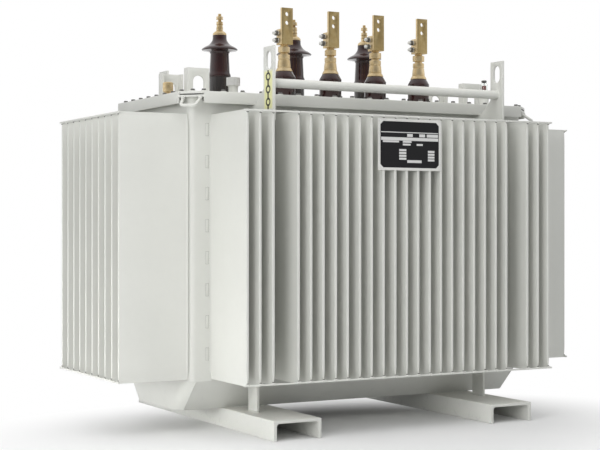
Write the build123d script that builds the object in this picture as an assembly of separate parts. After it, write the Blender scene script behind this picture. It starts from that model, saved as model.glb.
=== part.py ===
from build123d import *
import os
from math import atan2, cos, degrees

# Sealed oil transformer with a corrugated tank, standing on two channel skids.
# The origin is the middle of the footprint on the floor. X runs along the tank and Y across it,
# from the low-voltage side at the front to the high-voltage side at the rear. Z is up.
# All sizes are in millimetres.

# Skids: channels lying web up
skid_height = 64.0
skid_width = 170.0
skid_length = 1106.0
skid_gauge = 830.0
skid_web = 9.5
skid_flange = 11.0
skid_root_radius = 9.0
skid_edge_radius = 3.0

# Tank walls and the pan below them
tank_length = 1332.0
tank_width = 566.0
tank_corner_radius = 24.0
tank_sheet = 4.0
wall_height = 917.0
pan_height = 104.0
pan_foot_width = 366.0
pan_sheet = 6.0

# Folded cooling fins. A long side has one place a pitch, and a strap stands in the place that is
# strap_fin_count pitches from the middle. The right end has one fin less than the left, at the same pitch.
fin_thickness = 9.0
fin_foot_rise = 6.0
fin_head_gap = 53.0
long_fin_depth = 257.5
long_fin_pitch = 45.0
long_fin_count = 27
strap_fin_count = 10
end_fin_depth = 237.0
end_fin_margin = 16.6
left_fin_count = 10
right_fin_count = 9
seam_thickness = 3.0
seam_height = 8.0
seam_flare = 6.0
pinch_length = 14.0
tie_height = 8.0
tie_depth = 8.0
tie_overrun = 9.0

# Frame round the top of the tank, gasket and cover
frame_reach_long = 44.0
frame_reach_end = 31.0
frame_cut = 64.0
flange_thickness = 7.0
rim_thickness = 6.0
rim_height = 38.5
gasket_thickness = 3.5
gasket_inset = 14.0
cover_thickness = 8.0
cover_gap = 0.5

# Straps that run from the skids up to the lifting eyes, in the gaps of the fin rows
strap_thickness = 8.0
strap_width = 65.0
strap_shoulder = 6.0
lug_width = 70.0
lug_top_rise = 142.5
lug_stand_off = 65.0
lug_neck_rise = 9.0
lug_toe_drop = 56.0
lug_flare_height = 90.0
lug_slot_width = 36.0
lug_slot_height = 60.0
lug_slot_margin = 15.0

# Guard tube between the front lifting eyes
guard_diameter = 30.0
guard_rise = 25.5
guard_wall = 3.0

# Tie-down bails of bent rod in the open corners of the frame
bail_rod = 10.0
bail_root_span = 60.0
bail_tip_span = 50.0
bail_bend = 13.0
bail_reach = 38.0
bail_inset = 6.0
bail_drop = 27.0

# Lifting brackets on the cover
bracket_width = 80.0
bracket_height = 97.0
bracket_plate = 8.0
bracket_flange = 32.0
bracket_hole_width = 40.0
bracket_hole_sill = 20.0
bracket_hole_top = 71.0
bracket_end_inset = 137.0
bracket_side_inset = 203.0

# High-voltage bushings
hv_count = 3
hv_left_inset = 333.0
hv_right_inset = 457.0
hv_side_inset = 202.0
hv_foot_radius = 37.8
hv_lip_radius = 40.0
hv_foot_height = 100.0
hv_body_radius = 36.0
hv_waist_radius = 33.0
hv_shed_radius = 64.5
hv_shed_level = 195.0
hv_shed_edge = 4.0
hv_flare_reach = 15.0
hv_flare_rise = 16.5
hv_neck_radius = 25.0
hv_neck_level = 236.0
hv_height = 247.0
hv_cap_radius = 24.5
hv_cap_height = 16.0
hv_nut_across = 21.0
hv_nut_height = 9.0
hv_nut_gap = 4.0
hv_nut_count = 3
hv_stud_diameter = 12.0
hv_stud_height = 61.0
hv_clamp_radius = 52.0
hv_clamp_height = 12.0
hv_clamp_clearance = 0.3

# Low-voltage bushings
lv_count = 4
lv_left_inset = 455.0
lv_right_inset = 384.0
lv_side_inset = 192.0
lv_foot_radius = 39.5
lv_foot_height = 79.0
lv_top_radius = 27.5
lv_height = 99.5
lv_collar_radius = 29.0
lv_collar_height = 7.0
lv_column_radius = 20.5
lv_column_root_radius = 24.0
lv_column_height = 51.0
lv_nut_across = 38.0
lv_nut_height = 21.0
lv_nut_gap = 6.0
lv_block_width = 43.0
lv_block_depth = 30.0
lv_block_height = 54.0
lv_flag_thickness = 10.0
lv_flag_height = 126.0
lv_hole_diameter = 15.0
lv_hole_pitch = 30.0
lv_hole_drop = 21.0

# Small fittings on the cover, the pocket and the filler on its middle line
pocket_end_inset = 79.0
pocket_neck_diameter = 22.0
pocket_neck_height = 21.0
pocket_head_diameter = 36.0
pocket_head_height = 36.0
filler_end_inset = 326.0
filler_neck_diameter = 33.0
filler_neck_height = 56.0
filler_cap_diameter = 48.0
filler_cap_height = 28.0
gauge_end_inset = 127.0
gauge_side_inset = 142.0
gauge_base_diameter = 34.0
gauge_base_height = 62.0
gauge_glass_diameter = 27.0
gauge_glass_height = 36.0
gauge_cap_diameter = 20.0
gauge_cap_height = 6.0

# Rating plate carrier on the front fins
plate_width = 246.0
plate_height = 169.0
plate_thickness = 3.0
plate_x = 9.0
plate_drop = 11.0

# Levels and places that follow from the sizes above
wall_bottom = skid_height + pan_height
fin_height = wall_height - fin_foot_rise - fin_head_gap
fin_middle = wall_bottom + fin_foot_rise + fin_height / 2
end_fin_pitch = (tank_width - 2 * end_fin_margin) / (left_fin_count - 1)
plate_level = fin_middle + fin_height / 2 - plate_drop - plate_height / 2
flange_bottom = wall_bottom + wall_height
flange_top = flange_bottom + flange_thickness
gasket_top = flange_top + gasket_thickness
cover_top = gasket_top + cover_thickness
rim_bottom = cover_top - rim_height
rim_length = tank_length + 2 * frame_reach_end
rim_width = tank_width + 2 * frame_reach_long
lug_top = cover_top + lug_top_rise
guard_level = cover_top + guard_rise
cover_end = rim_length / 2
cover_side = rim_width / 2
hv_y = cover_side - hv_side_inset
hv_spacing = (2 * cover_end - hv_left_inset - hv_right_inset) / (hv_count - 1)
lv_y = lv_side_inset - cover_side
lv_spacing = (2 * cover_end - lv_left_inset - lv_right_inset) / (lv_count - 1)
strap_x = strap_fin_count * long_fin_pitch
lug_inner = tank_width / 2 + frame_reach_long + lug_stand_off
lug_outer = lug_inner + lug_width
guard_y = (lug_inner + lug_outer) / 2


def save(node, shape):
    """Write one named piece."""
    export_step(shape, f"parts/{node}.step")


def skid():
    """Channel along Y with its web on top and its flanges down on the floor."""
    outside = Pos(0, skid_height / 2) * Rectangle(skid_width, skid_height)
    inner_height = skid_height - skid_web
    inside = Pos(0, inner_height / 2) * Rectangle(skid_width - 2 * skid_flange, inner_height)
    inside = fillet(inside.vertices().group_by(Axis.Y)[-1], skid_root_radius)
    section = outside - inside
    section = fillet(section.vertices().group_by(Axis.Y)[-1], skid_edge_radius)
    return extrude(Plane.XZ * section, amount=skid_length / 2, both=True)


def tank_section(inset=0.0, width=tank_width):
    """Plan of the tank with rounded corners, drawn smaller by an inset."""
    length = tank_length - 2 * inset
    return RectangleRounded(length, width - 2 * inset, tank_corner_radius - inset)


def tank_shell():
    """The four walls of the tank behind the fins."""
    walls = extrude(tank_section() - tank_section(tank_sheet), amount=wall_height)
    return Pos(0, 0, wall_bottom) * walls


def tank_pan():
    """Bottom pan, its long sides leaning in to a narrower floor between the skids' tops."""
    top = Pos(0, 0, pan_height) * tank_section()
    outer = loft([tank_section(width=pan_foot_width), top])
    inner_floor = Pos(0, 0, pan_sheet) * tank_section(pan_sheet, pan_foot_width)
    inner_top = Pos(0, 0, pan_height) * tank_section(pan_sheet)
    return Pos(0, 0, skid_height) * (outer - loft([inner_floor, inner_top]))


def fin(depth):
    """One fin folded from sheet, out along +Y, pinched flat at its two ends.

    The flat seam there stands out a little past the nose of the fin.
    """
    end = fin_height / 2
    pinch_start = end - seam_height
    pinch_end = pinch_start - pinch_length
    thick = fin_thickness / 2
    thin = seam_thickness / 2
    quarter = Polyline((0, 0), (thick, 0), (thick, pinch_end), (thin, pinch_start), (thin, end), (0, end),
                       close=True)
    front_half = make_face(quarter)
    front_half += mirror(front_half, about=Plane.XZ)
    front_view = front_half + mirror(front_half, about=Plane.YZ)
    reach = depth + seam_flare
    flank = Polyline((0, 0), (depth, 0), (depth, pinch_start), (reach, pinch_start), (reach, end), (0, end),
                     close=True)
    side_half = make_face(flank)
    side_view = side_half + mirror(side_half, about=Plane.XZ)
    seen_from_front = extrude(Plane.XZ * front_view, amount=-reach)
    return seen_from_front & extrude(Plane.YZ * side_view, amount=thick, both=True)


def fin_row(places, pitch, depth):
    """A row of fins out along +Y, joined by tie strips along the tops and feet of their tips."""
    one = fin(depth)
    row = [Pos(place * pitch, 0, 0) * one for place in places]
    strip_length = (places[-1] - places[0]) * pitch + fin_thickness + 2 * tie_overrun
    strip_y = depth + seam_flare - tie_depth / 2
    strip_z = fin_height / 2 - tie_height / 2
    for side in (-1, 1):
        row.append(Pos(0, strip_y, side * strip_z) * Box(strip_length, tie_depth, tie_height))
    return Pos(0, 0, fin_middle) * (Part() + row)


def long_fin_row():
    """Fins of a long side: two places are left open for the straps."""
    last = (long_fin_count - 1) // 2
    places = [place for place in range(-last, last + 1) if abs(place) != strap_fin_count]
    return fin_row(places, long_fin_pitch, long_fin_depth)


def end_fin_row(count):
    """Fins of an end of the tank, evenly about its middle."""
    places = [place - (count - 1) / 2 for place in range(count)]
    return fin_row(places, end_fin_pitch, end_fin_depth)


def cut_rectangle(length, width, cut):
    """Rectangle with its four corners cut off at 45 degrees."""
    return chamfer(Rectangle(length, width).vertices(), cut)


def tank_opening():
    """Plan of the opening inside the walls."""
    return tank_section(tank_sheet)


def top_frame():
    """Flange round the mouth of the tank, with a flat rim along its four sides."""
    ring = cut_rectangle(rim_length, rim_width, frame_cut) - tank_opening()
    flange = Pos(0, 0, flange_bottom) * extrude(ring, amount=flange_thickness)
    rim_middle = rim_bottom + rim_height / 2
    long_bar = Box(rim_length - 2 * frame_cut, rim_thickness, rim_height)
    end_bar = Box(rim_thickness, rim_width - 2 * frame_cut, rim_height)
    bar_y = (rim_width - rim_thickness) / 2
    bar_x = (rim_length - rim_thickness) / 2
    bars = [Pos(0, side * bar_y, rim_middle) * long_bar for side in (-1, 1)]
    bars += [Pos(side * bar_x, 0, rim_middle) * end_bar for side in (-1, 1)]
    return flange + bars


def cover_section(inset):
    """Plan of what lies inside the rim, with its cut corners in line with the frame's."""
    return cut_rectangle(rim_length - 2 * inset, rim_width - 2 * inset, frame_cut - 2 * inset)


def cover_gasket():
    """Flat gasket between the flange and the cover."""
    ring = cover_section(gasket_inset) - tank_opening()
    return Pos(0, 0, flange_top) * extrude(ring, amount=gasket_thickness)


def cover_plate():
    """Flat cover lying inside the rim."""
    section = cover_section(rim_thickness + cover_gap)
    return Pos(0, 0, gasket_top) * extrude(section, amount=cover_thickness)


def strap():
    """Flat strap of the rear left: from the skid up the wall, then out to the lifting eye."""
    wall = tank_width / 2
    band = wall + strap_width
    shoulder = wall + frame_reach_long + strap_shoulder
    toe = rim_bottom - lug_toe_drop
    outline = Polyline((wall, skid_height), (band, skid_height), (band, toe - lug_flare_height),
                       (lug_outer, toe), (lug_outer, lug_top), (lug_inner, lug_top),
                       (lug_inner, cover_top + lug_neck_rise), (shoulder, rim_bottom),
                       (wall, rim_bottom), close=True)
    slot_z = lug_top - lug_slot_margin - lug_slot_height / 2
    slot = Pos(guard_y, slot_z) * SlotOverall(lug_slot_height, lug_slot_width, rotation=90)
    return extrude(Plane.YZ * (make_face(outline) - slot), amount=strap_thickness / 2, both=True)


def guard_tube():
    """Tube along X between the two front lifting eyes."""
    length = 2 * strap_x - strap_thickness
    ring = Circle(guard_diameter / 2) - Circle(guard_diameter / 2 - guard_wall)
    tube = extrude(Plane.YZ * ring, amount=length / 2, both=True)
    return Pos(0, -guard_y, guard_level) * tube


def corner_bail():
    """Bent rod of one corner, reaching out along +X and down from under the flange."""
    root = bail_root_span / 2
    tip = bail_tip_span / 2
    reach = bail_reach + bail_inset
    path = FilletPolyline((0, -root), (reach, -tip), (reach, tip), (0, root), radius=bail_bend)
    start = Plane(origin=path @ 0, z_dir=path % 0)
    rod = sweep(start * Circle(bail_rod / 2), path=path)
    tilt = atan2(bail_drop, bail_reach)
    return Pos(-bail_inset, 0, -bail_rod / 2 * cos(tilt)) * Rot(0, degrees(tilt), 0) * rod


def cover_bracket():
    """Lifting bracket on the cover: a plate with an arched hole and a flange down each side."""
    plate = Pos(0, bracket_height / 2) * Rectangle(bracket_width, bracket_height)
    radius = bracket_hole_width / 2
    arch_level = bracket_hole_top - radius
    door_height = arch_level - bracket_hole_sill
    door = Pos(0, bracket_hole_sill + door_height / 2) * Rectangle(bracket_hole_width, door_height)
    hole = door + Pos(0, arch_level) * Circle(radius)
    web = extrude(Plane.XZ * (plate - hole), amount=-bracket_plate)
    side = Box(bracket_plate, bracket_flange, bracket_height, align=(Align.CENTER, Align.MIN, Align.MIN))
    side_x = (bracket_width - bracket_plate) / 2
    return web + [Pos(x, 0, 0) * side for x in (-side_x, side_x)]


def hv_insulator():
    """Glazed body of a high-voltage bushing: foot, lip, tapering barrel, shed and neck."""
    lip = hv_foot_height
    under = hv_shed_level - 2 * hv_shed_edge
    drip = hv_shed_radius - 3 * hv_shed_edge
    low = Polyline((0, 0), (hv_foot_radius, 0), (hv_foot_radius, lip), (hv_lip_radius, lip),
                   (hv_lip_radius, lip + 4), (hv_body_radius, lip + 16), (hv_waist_radius, under - 6),
                   (hv_waist_radius + 3, under), (drip, hv_shed_level), (hv_shed_radius, hv_shed_level - 2),
                   (hv_shed_radius, hv_shed_level + hv_shed_edge - 2))
    flare_middle = (hv_neck_radius + hv_flare_reach, hv_shed_level + hv_flare_rise)
    flare = ThreePointArc(low @ 1, flare_middle, (hv_neck_radius, hv_neck_level))
    top = Polyline(flare @ 1, (hv_neck_radius, hv_height), (0, hv_height), (0, 0))
    return revolve(Plane.XZ * make_face(low + flare + top), Axis.Z)


def hex_nut(across, height):
    """Plain hexagon nut standing on the plane Z = 0."""
    return extrude(RegularPolygon(across / 2, 6, major_radius=False), amount=height)


def hv_terminal():
    """Domed cap, stud and stacked nuts on top of a high-voltage bushing."""
    foot = hv_cap_radius
    crown = hv_nut_across / 2 + 2
    outline = Polyline((0, 0), (foot, 0), (foot, 4), (foot - 4, 10), (crown, hv_cap_height),
                       (0, hv_cap_height), close=True)
    piece = revolve(Plane.XZ * make_face(outline), Axis.Z)
    stud_length = hv_stud_height
    piece += Pos(0, 0, hv_cap_height + stud_length / 2) * Cylinder(hv_stud_diameter / 2, stud_length)
    for place in range(hv_nut_count):
        level = hv_cap_height + place * (hv_nut_height + hv_nut_gap)
        piece += Pos(0, 0, level) * hex_nut(hv_nut_across, hv_nut_height)
    return piece


def hv_clamp():
    """Clamping ring round the foot of a high-voltage bushing."""
    ring = Circle(hv_clamp_radius) - Circle(hv_foot_radius + hv_clamp_clearance)
    return extrude(ring, amount=hv_clamp_height)


def lv_insulator():
    """Glazed body of a low-voltage bushing: a round foot with a short cone on it."""
    outline = Polyline((0, 0), (lv_foot_radius, 0), (lv_foot_radius, lv_foot_height),
                       (lv_top_radius, lv_height), (0, lv_height), close=True)
    return revolve(Plane.XZ * make_face(outline), Axis.Z)


def lv_terminal():
    """Brass head of a low-voltage bushing: column, nut, clamp block and upright flag."""
    collar_top = lv_collar_height
    column_top = collar_top + lv_column_height
    root = collar_top + 12
    nut_bottom = column_top + lv_nut_gap
    block_bottom = nut_bottom + lv_nut_height + lv_nut_gap
    neck = lv_column_radius - 5
    outline = Polyline((0, 0), (lv_collar_radius, 0), (lv_collar_radius, collar_top - 3),
                       (lv_column_root_radius, collar_top), (lv_column_root_radius, root),
                       (lv_column_radius, root + 4), (lv_column_radius, column_top), (neck, column_top),
                       (neck, block_bottom + 4), (0, block_bottom + 4), close=True)
    piece = revolve(Plane.XZ * make_face(outline), Axis.Z)
    piece += Pos(0, 0, nut_bottom) * hex_nut(lv_nut_across, lv_nut_height)
    block_z = block_bottom + lv_block_height / 2
    piece += Pos(0, 0, block_z) * Box(lv_block_width, lv_block_depth, lv_block_height)
    flag_z = block_bottom + lv_flag_height / 2
    flag_y = -(lv_block_depth + lv_flag_thickness) / 2
    flag = Box(lv_block_width, lv_flag_thickness, lv_flag_height)
    hole = Rot(90, 0, 0) * Cylinder(lv_hole_diameter / 2, 2 * lv_flag_thickness)
    for place in range(2):
        drop = lv_flag_height / 2 - lv_hole_drop - place * lv_hole_pitch
        flag -= Pos(0, 0, drop) * hole
    return piece + Pos(0, flag_y, flag_z) * flag


def fitting(diameters, heights):
    """Round fitting of stacked steps standing on the plane Z = 0."""
    piece = Part()
    level = 0.0
    for diameter, height in zip(diameters, heights):
        piece += Pos(0, 0, level + height / 2) * Cylinder(diameter / 2, height)
        level += height
    return piece


def plate_carrier():
    """Flat backing for the rating plate, lying against the tips of the front fins."""
    back = tank_width / 2 + long_fin_depth
    plate = Box(plate_width, plate_thickness, plate_height)
    return Pos(plate_x, -back - plate_thickness / 2, plate_level) * plate


def write_base():
    """Skids, tank, frame and cover."""
    save("skid_left", Pos(-skid_gauge / 2, 0, 0) * skid())
    save("skid_right", Pos(skid_gauge / 2, 0, 0) * skid())
    save("tank_pan", tank_pan())
    save("tank_shell", tank_shell())
    save("top_frame", top_frame())
    save("cover_gasket", cover_gasket())
    save("cover_plate", cover_plate())


def write_fins():
    """The four fin rows, each turned to stand on its wall."""
    long_row = long_fin_row()
    save("fins_front", Rot(0, 0, 180) * Pos(0, tank_width / 2, 0) * long_row)
    save("fins_rear", Pos(0, tank_width / 2, 0) * long_row)
    on_end = Pos(0, tank_length / 2, 0)
    save("fins_left", Rot(0, 0, 90) * on_end * end_fin_row(left_fin_count))
    save("fins_right", Rot(0, 0, -90) * on_end * end_fin_row(right_fin_count))


def write_straps():
    """Straps with lifting eyes, and the guard tube between the front pair."""
    rear = strap()
    front = mirror(rear, about=Plane.XZ)
    for name, x in (("left", -strap_x), ("right", strap_x)):
        save(f"strap_front_{name}", Pos(x, 0, 0) * front)
        save(f"strap_rear_{name}", Pos(x, 0, 0) * rear)
    save("guard_tube", guard_tube())


def write_bails():
    """One bail square across each cut corner."""
    bail = corner_bail()
    x = rim_length / 2 - frame_cut / 2
    y = rim_width / 2 - frame_cut / 2
    corners = {"rear_right": (1, 1), "rear_left": (-1, 1), "front_left": (-1, -1), "front_right": (1, -1)}
    for name, (side_x, side_y) in corners.items():
        outward = degrees(atan2(side_y, side_x))
        place = Pos(side_x * x, side_y * y, flange_bottom)
        save(f"bail_{name}", place * Rot(0, 0, outward) * bail)


def write_brackets():
    """Four lifting brackets on the cover, their flanges towards the middle."""
    bracket = Pos(0, 0, cover_top) * cover_bracket()
    end = cover_end - bracket_end_inset
    side = cover_side - bracket_side_inset
    for name, x in (("left", -end), ("right", end)):
        save(f"bracket_front_{name}", Pos(x, -side, 0) * bracket)
        save(f"bracket_rear_{name}", Pos(x, side, 0) * Rot(0, 0, 180) * bracket)


def write_bushings():
    """The two rows of bushings with their terminals."""
    clamps = []
    for place in range(hv_count):
        x = hv_left_inset - cover_end + place * hv_spacing
        clamps.append(Pos(x, hv_y, cover_top) * hv_clamp())
        save(f"hv_insulator_{place + 1}", Pos(x, hv_y, cover_top) * hv_insulator())
        save(f"hv_terminal_{place + 1}", Pos(x, hv_y, cover_top + hv_height) * hv_terminal())
    save("hv_clamps", Compound(children=clamps))
    for place in range(lv_count):
        x = lv_left_inset - cover_end + place * lv_spacing
        save(f"lv_insulator_{place + 1}", Pos(x, lv_y, cover_top) * lv_insulator())
        save(f"lv_terminal_{place + 1}", Pos(x, lv_y, cover_top + lv_height) * lv_terminal())


def write_fittings():
    """Thermometer pocket, filler, oil level gauge and the carrier of the rating plate."""
    pocket = fitting((pocket_neck_diameter, pocket_head_diameter), (pocket_neck_height, pocket_head_height))
    save("thermometer_pocket", Pos(pocket_end_inset - cover_end, 0, cover_top) * pocket)
    filler_x = filler_end_inset - cover_end
    neck = fitting((filler_neck_diameter,), (filler_neck_height,))
    save("filler_neck", Pos(filler_x, 0, cover_top) * neck)
    cap = fitting((filler_cap_diameter,), (filler_cap_height,))
    save("filler_cap", Pos(filler_x, 0, cover_top + filler_neck_height) * cap)
    gauge_x = cover_end - gauge_end_inset
    gauge_y = gauge_side_inset - cover_side
    base = fitting((gauge_base_diameter,), (gauge_base_height,))
    save("gauge_base", Pos(gauge_x, gauge_y, cover_top) * base)
    glass = fitting((gauge_glass_diameter,), (gauge_glass_height,))
    glass_level = cover_top + gauge_base_height
    save("gauge_glass", Pos(gauge_x, gauge_y, glass_level) * glass)
    lid = fitting((gauge_cap_diameter,), (gauge_cap_height,))
    save("gauge_cap", Pos(gauge_x, gauge_y, glass_level + gauge_glass_height) * lid)
    save("plate_carrier", plate_carrier())


os.makedirs("parts", exist_ok=True)
write_base()
write_fins()
write_straps()
write_bails()
write_brackets()
write_bushings()
write_fittings()
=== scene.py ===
"""Visible pieces of an oil-filled power transformer, built round its packed CAD model.

Every piece is made in metres in the frame of the CAD model: X runs along the tank, Y from the low-voltage
side to the high-voltage side, and Z up from the floor.
"""
import math

import bmesh
import bpy
from mathutils import Matrix, Vector


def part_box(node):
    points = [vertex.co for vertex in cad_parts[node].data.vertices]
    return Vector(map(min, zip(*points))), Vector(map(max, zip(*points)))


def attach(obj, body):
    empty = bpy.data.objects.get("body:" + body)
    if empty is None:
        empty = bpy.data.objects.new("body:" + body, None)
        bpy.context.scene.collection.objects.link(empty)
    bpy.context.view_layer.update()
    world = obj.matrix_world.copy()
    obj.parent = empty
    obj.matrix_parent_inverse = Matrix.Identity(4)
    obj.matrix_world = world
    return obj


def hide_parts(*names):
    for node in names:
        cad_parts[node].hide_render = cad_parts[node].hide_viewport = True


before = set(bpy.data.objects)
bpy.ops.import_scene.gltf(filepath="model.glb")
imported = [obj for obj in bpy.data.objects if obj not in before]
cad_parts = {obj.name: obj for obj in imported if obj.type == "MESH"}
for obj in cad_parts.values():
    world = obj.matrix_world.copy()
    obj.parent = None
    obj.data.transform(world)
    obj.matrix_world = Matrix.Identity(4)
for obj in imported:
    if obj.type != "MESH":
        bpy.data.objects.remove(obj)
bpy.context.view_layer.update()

bl_info = {
    "name": "Power transformer",
    "version": (1, 0, 0),
    "blender": (4, 5, 0),
    "location": "3D View > Sidebar > Transformer",
    "description": "Builds the visible pieces of an oil-filled power transformer round its CAD model",
    "category": "Add Mesh",
}

MM = 0.001
UP = Vector((0, 0, 1))


def length(name, description, millimetres):
    """Property of a length, given in millimetres and kept in metres."""
    return bpy.props.FloatProperty(name=name, description=description, default=millimetres * MM,
                                   min=0.0, unit="LENGTH", subtype="DISTANCE", precision=4)


def number(name, description, default):
    """Property of a count."""
    return bpy.props.IntProperty(name=name, description=description, default=default, min=1)


def amount(name, description, default):
    """Property of a plain number."""
    return bpy.props.FloatProperty(name=name, description=description, default=default, min=0.0)


def colour(name, description, red, green, blue):
    """Property of a colour, in linear values."""
    return bpy.props.FloatVectorProperty(name=name, description=description, default=(red, green, blue),
                                         size=3, min=0.0, max=1.0, subtype="COLOR")


class FinSizes(bpy.types.PropertyGroup):
    """Sizes of the folded cooling fins and of the strips that tie their tips."""
    thickness: length("Fin thickness", "Thickness over both folded sheets", 9.0)
    pitch: length("Fin pitch", "Spacing of the fins of a long side", 45.0)
    count: number("Fin places", "Places for fins on a long side", 27)
    strap_place: number("Strap place", "Place from the middle that a strap stands in", 10)
    end_margin: length("End margin", "From the tank's corner to the first fin of an end", 16.6)
    left_count: number("Left end fins", "Fins on the left end of the tank", 10)
    right_count: number("Right end fins", "Fins on the right end, at the same pitch", 9)
    fold: length("Root fold", "Radius of the fold between wall and fin", 5.0)
    nose: length("Nose radius", "Rounding of the two outer corners of a fin", 2.1)
    seam: length("Seam height", "Height of the flat seam at a fin's top and foot", 8.0)
    pinch: length("Pinch length", "Height over which a fin is pinched to its seam", 38.0)
    flare: length("Seam reach", "How far the flat seam reaches past the fin's nose", 6.0)
    strip: length("Strip size", "Side of the square strip that ties the tips", 7.0)
    overrun: length("Strip overrun", "Length of a strip past the last fin", 9.0)


class CoverSizes(bpy.types.PropertyGroup):
    """Sizes of the cover's bolts, of welds and of edge rounding."""
    bolt_across: length("Bolt head", "Width of a bolt head across its flats", 13.0)
    bolt_height: length("Head height", "Height of a bolt head", 5.5)
    washer: length("Washer", "Diameter of a washer", 20.0)
    washer_thickness: length("Washer thickness", "Thickness of a washer", 3.2)
    bolt_inset: length("Bolt inset", "From the cover's edge to the line of bolts", 15.5)
    bolt_pitch: length("Bolt pitch", "Spacing of the cover's bolts", 69.4)
    bolts_along: number("Bolts along", "Bolts of a long edge of the cover", 19)
    bolts_across: number("Bolts across", "Bolts of a short edge of the cover", 8)
    plate_edge: length("Plate edge", "Rounding of the edges of cut plate", 1.1)
    bead: length("Weld bead", "Radius of a weld bead", 3.2)
    stitch_height: length("Stitch height", "Height of a stitch mark on the wall", 40.0)
    stitch_width: length("Stitch width", "Width of a stitch mark on the wall", 9.4)
    stitch_pitch: length("Stitch pitch", "Spacing of the stitch marks", 103.8)
    stitch_count: number("Stitches", "Stitch marks beside each tank corner", 8)


class BushingSizes(bpy.types.PropertyGroup):
    """Sizes of the bushings' small parts."""
    steps: number("Turning steps", "Flats round a turned piece", 64)
    glaze_edge: length("Glaze edge", "Rounding of the edges of the porcelain", 1.6)
    brass_edge: length("Brass edge", "Rounding of the edges of the brass", 0.8)
    jaw_width: length("Jaw width", "Width of a clamping jaw", 17.0)
    jaw_height: length("Jaw height", "Height of a clamping jaw", 8.0)
    stud: length("Stud", "Diameter of a jaw's stud", 8.0)
    side_bolt: length("Side bolt", "Diameter of the two bolts in a low-voltage clamp block", 17.0)
    side_bolt_length: length("Side bolt length", "Reach of those bolts from the block", 19.0)


class PlateSizes(bpy.types.PropertyGroup):
    """Sizes of the rating plate and of the sling sign."""
    margin: length("Plate margin", "Pale margin round the dark field", 9.0)
    corner: length("Plate corner", "Cut at the corners of the dark field", 11.0)
    layer: length("Layer", "Thickness of a printed layer", 0.35)
    sign_width: length("Sign width", "Width of the sling sign", 60.0)
    sign_foot: length("Sign foot", "Level of the lower edge of the sling sign", 1043.0)
    sign_top: length("Sign top", "Level of the upper edge of the sling sign", 1170.0)
    link_width: length("Link width", "Width of a drawn chain link", 31.0)
    link_height: length("Link height", "Height of a drawn chain link", 27.0)
    link_pitch: length("Link pitch", "Spacing of the drawn links seen from the front", 40.7)
    link_top: length("Top link", "Level of the uppermost drawn link", 1148.5)


class FinishColours(bpy.types.PropertyGroup):
    """Colours of the finishes, in linear values."""
    paint: colour("Tank paint", "Light grey satin paint", 0.70, 0.705, 0.665)
    porcelain: colour("Porcelain", "Brown glazed porcelain", 0.024, 0.0078, 0.0085)
    brass: colour("Brass", "Satin brass of caps and columns", 0.78, 0.64, 0.41)
    # darker than the turned brass as painted shade of the flags' front faces; the rolled grain is the flags'
    # own
    flag_brass: colour("Flag brass", "Darker shaded rolled brass of the flags", 0.49, 0.385, 0.20)
    zinc: colour("Zinc", "Zinc-plated steel", 0.78, 0.78, 0.76)
    dark_steel: colour("Dark steel", "Blackened nuts and caps", 0.055, 0.053, 0.050)
    bolt_steel: colour("Bolt steel", "Dull grey heads of the cover's bolts", 0.15, 0.148, 0.142)
    rubber: colour("Gasket rubber", "Black oil-proof rubber", 0.022, 0.022, 0.021)
    float_red: colour("Float", "Red-brown float of the level gauge", 0.21, 0.076, 0.066)
    plate_field: colour("Plate field", "Dark field of the rating plate", 0.009, 0.009, 0.010)
    plate_bare: colour("Plate metal", "Bare aluminium of the rating plate", 0.76, 0.76, 0.73)
    sign: colour("Sling sign", "Pale yellow of the sling sign", 0.84, 0.83, 0.44)


class StageSettings(bpy.types.PropertyGroup):
    """Floor, lamps and camera."""
    floor_radius: amount("Floor radius", "Radius of the floor in metres", 14.0)
    fade_start: amount("Fade start", "Distance at which the floor begins to turn white, in metres", 0.45)
    fade_end: amount("Fade end", "Distance at which the floor is white, in metres", 1.05)
    fill: amount("Fill light", "Strength of the even light of the room", 0.39)
    key_power: amount("Key lamp", "Power of the soft lamp at the left front, in watts", 56.0)
    key_size: amount("Key lamp size", "Side of that lamp in metres", 1.7)
    top_power: amount("Top lamp", "Power of the soft lamp overhead, in watts", 98.0)
    top_size: amount("Top lamp size", "Side of that lamp in metres", 4.2)
    low_power: amount("Low lamp", "Power of the low lamp at the left end, in watts", 2.9)
    low_size: amount("Low lamp width", "Width of that lamp in metres", 1.8)
    low_height: amount("Low lamp height", "Height of that lamp in metres", 0.5)
    lens: amount("Lens", "Focal length in millimetres on a 36 mm frame", 84.3)


def sizes(group):
    """Settings group of the scene by its short name."""
    return getattr(bpy.context.scene, f"transformer_{group}")


# Finishes


class Nodes:
    """Nodes of a material or of the world, added one by one."""

    def __init__(self, owner):
        owner.use_nodes = True
        self.tree = owner.node_tree

    def feed(self, socket, value):
        """Link a socket, or set its value. A colour is a triple."""
        if isinstance(value, bpy.types.NodeSocket):
            self.tree.links.new(value, socket)
        else:
            socket.default_value = (*value, 1.0) if socket.type == "RGBA" else value

    def add(self, kind, inputs=None, **settings):
        """Add a node, with its settings and with values or links for its inputs."""
        node = self.tree.nodes.new(kind)
        for key, value in settings.items():
            setattr(node, key, value)
        for key, value in (inputs or {}).items():
            self.feed(node.inputs[key], value)
        return node

    def spread(self, value, low=0.0, high=1.0, start=0.3, stop=0.7, **settings):
        """Map the middle part of a pattern to a range."""
        node = self.add("ShaderNodeMapRange", {"Value": value, "From Min": start, "From Max": stop,
                                               "To Min": low, "To Max": high}, **settings)
        return node.outputs["Result"]

    def reckon(self, operation, first, second):
        """Result of a sum on two values."""
        return self.add("ShaderNodeMath", {0: first, 1: second}, operation=operation).outputs["Value"]

    def times(self, first, second):
        """Product of two values."""
        return self.reckon("MULTIPLY", first, second)

    def mix(self, share, first, second):
        """Mix two shaders."""
        return self.add("ShaderNodeMixShader", {0: share, 1: first, 2: second}).outputs["Shader"]


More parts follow.
